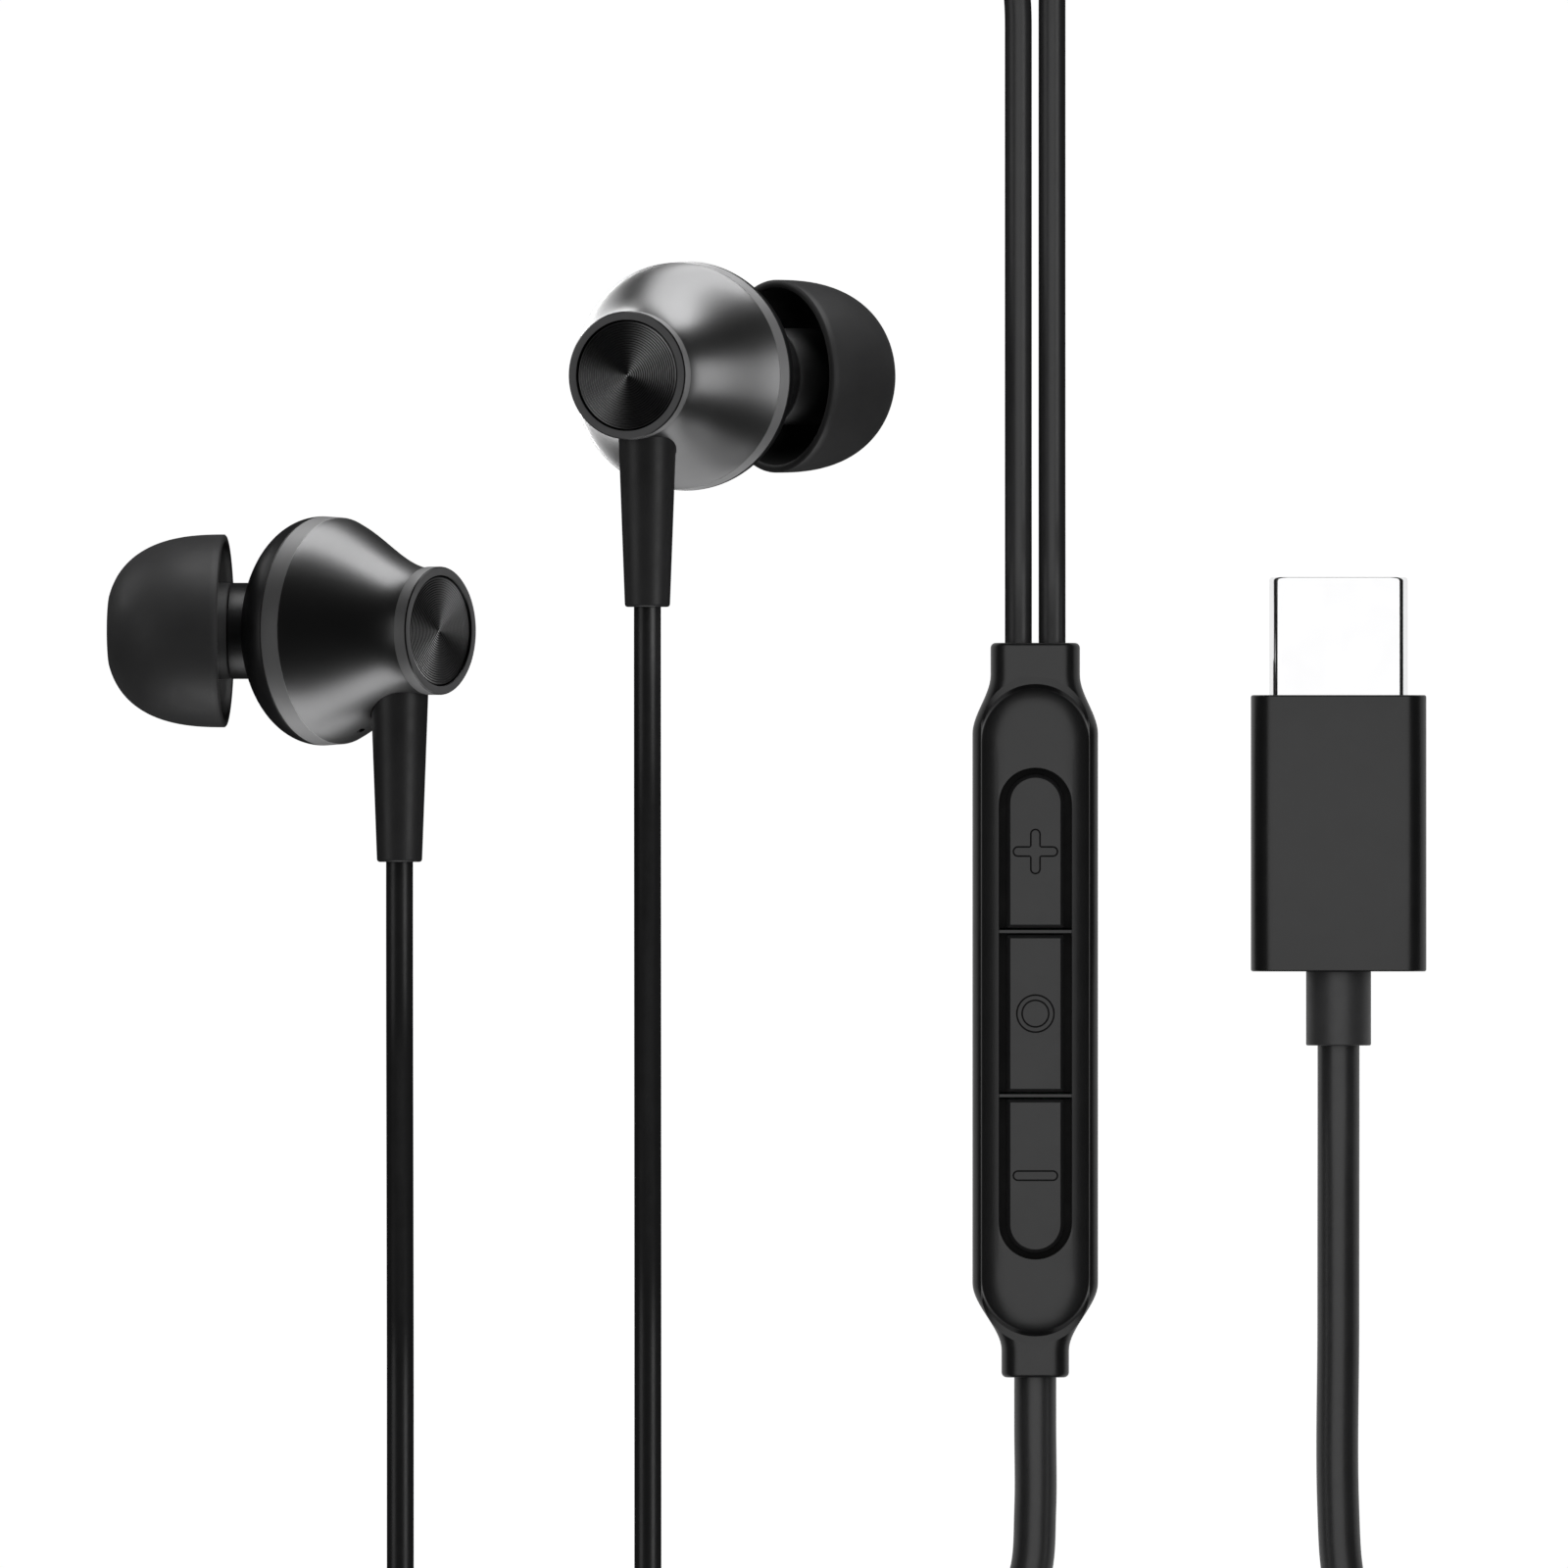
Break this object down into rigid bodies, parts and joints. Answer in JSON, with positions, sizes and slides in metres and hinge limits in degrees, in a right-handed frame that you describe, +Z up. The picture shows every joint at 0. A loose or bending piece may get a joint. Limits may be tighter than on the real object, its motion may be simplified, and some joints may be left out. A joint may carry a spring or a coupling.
{
  "type": "wired earphones",
  "caption": "In-ear earphones laid out flat, with tilted silicone ear tips, metal trumpet housings, a slim in-line key remote and a flat reversible data plug.",
  "frame": {"origin": "on the table, under the middle of the box around the two earphones and the remote", "axes": "+Z up from the table; +Y along the remote towards its two ear cords; +X from the left earphone towards the remote and the plug"},
  "size_m": [0.0984, 0.1503, 0.0185],
  "materials": {
    "silicone": "soft satin silicone",
    "housing_plastic": "satin black moulding",
    "housing_metal": "dark anodised, polished",
    "ring_metal": "dark anodised, blasted face with a bright cut edge",
    "spun_disc": "black anodised with concentric turned grooves",
    "mesh_metal": "fine woven mesh",
    "vent_cloth": "acoustic cloth",
    "stem_rubber": "soft moulded elastomer",
    "cord_jacket": "smooth elastomer jacket",
    "frame_plastic": "moulded",
    "film": "thin formed film",
    "copper": "enamelled winding wire",
    "plated_steel": "nickel plated",
    "remote_plastic": "satin with gloss edges",
    "key_plastic": "satin, engraved symbols",
    "board": "solder mask",
    "switch_metal": "stamped dome",
    "chip": "moulded package",
    "microphone_can": "plated can",
    "plug_metal": "bright plated steel",
    "contact_gold": "gold plated",
    "plug_plastic": "satin moulding",
    "tie_rubber": "ribbed strap"
  },
  "bodies": {
    "earphone_set": {"left_front_housing": "housing_plastic", "left_nozzle_mesh": "mesh_metal", "left_driver_frame": "frame_plastic", "left_driver_diaphragm": "film", "left_voice_coil": "copper", "left_driver_top_plate": "plated_steel", "left_driver_magnet": "plated_steel", "left_driver_yoke": "plated_steel", "left_rear_housing": "housing_metal", "left_cap_ring": "ring_metal", "left_cap_disc": "spun_disc", "left_vent_mesh": "vent_cloth", "left_strain_relief": "stem_rubber", "left_cord_knot": "cord_jacket", "right_front_housing": "housing_plastic", "right_nozzle_mesh": "mesh_metal", "right_driver_frame": "frame_plastic", "right_driver_diaphragm": "film", "right_voice_coil": "copper", "right_driver_top_plate": "plated_steel", "right_driver_magnet": "plated_steel", "right_driver_yoke": "plated_steel", "right_rear_housing": "housing_metal", "right_cap_ring": "ring_metal", "right_cap_disc": "spun_disc", "right_vent_mesh": "vent_cloth", "right_strain_relief": "stem_rubber", "right_cord_knot": "cord_jacket", "remote_back_shell": "remote_plastic", "remote_front_shell": "remote_plastic", "remote_circuit_board": "board", "key_switches": "switch_metal", "remote_microphone": "microphone_can", "remote_chip": "chip", "remote_cord_anchors": "frame_plastic", "plug_shell": "plug_metal", "plug_insulator": "frame_plastic", "plug_contacts": "contact_gold", "plug_circuit_board": "board", "plug_converter_chip": "chip", "plug_body": "plug_plastic", "plug_sleeve": "stem_rubber", "left_cord": "cord_jacket", "right_cord": "cord_jacket", "main_cord_top": "cord_jacket", "main_coil": "cord_jacket", "main_cord_end": "cord_jacket", "coil_tie": "tie_rubber"},
    "left_tip": {"left_ear_tip": "silicone"},
    "right_tip": {"right_ear_tip": "silicone"},
    "volume_up": {"volume_up_key": "key_plastic"},
    "play": {"play_key": "key_plastic"},
    "volume_down": {"volume_down_key": "key_plastic"}
  },
  "joints": [
    {"name": "left_tip_pull", "type": "slide", "parent": "earphone_set", "child": "left_tip", "axis": [-0.9962, 0, -0.0872], "range_m": [0, 0.005]},
    {"name": "right_tip_pull", "type": "slide", "parent": "earphone_set", "child": "right_tip", "axis": [0.7986, 0, -0.6018], "range_m": [0, 0.005]},
    {"name": "volume_up_press", "type": "slide", "parent": "earphone_set", "child": "volume_up", "axis": [0, 0, -1], "range_m": [0, 0.00025], "stiffness_N_per_m": 400},
    {"name": "play_press", "type": "slide", "parent": "earphone_set", "child": "play", "axis": [0, 0, -1], "range_m": [0, 0.00025], "stiffness_N_per_m": 400},
    {"name": "volume_down_press", "type": "slide", "parent": "earphone_set", "child": "volume_down", "axis": [0, 0, -1], "range_m": [0, 0.00025], "stiffness_N_per_m": 400}
  ]
}
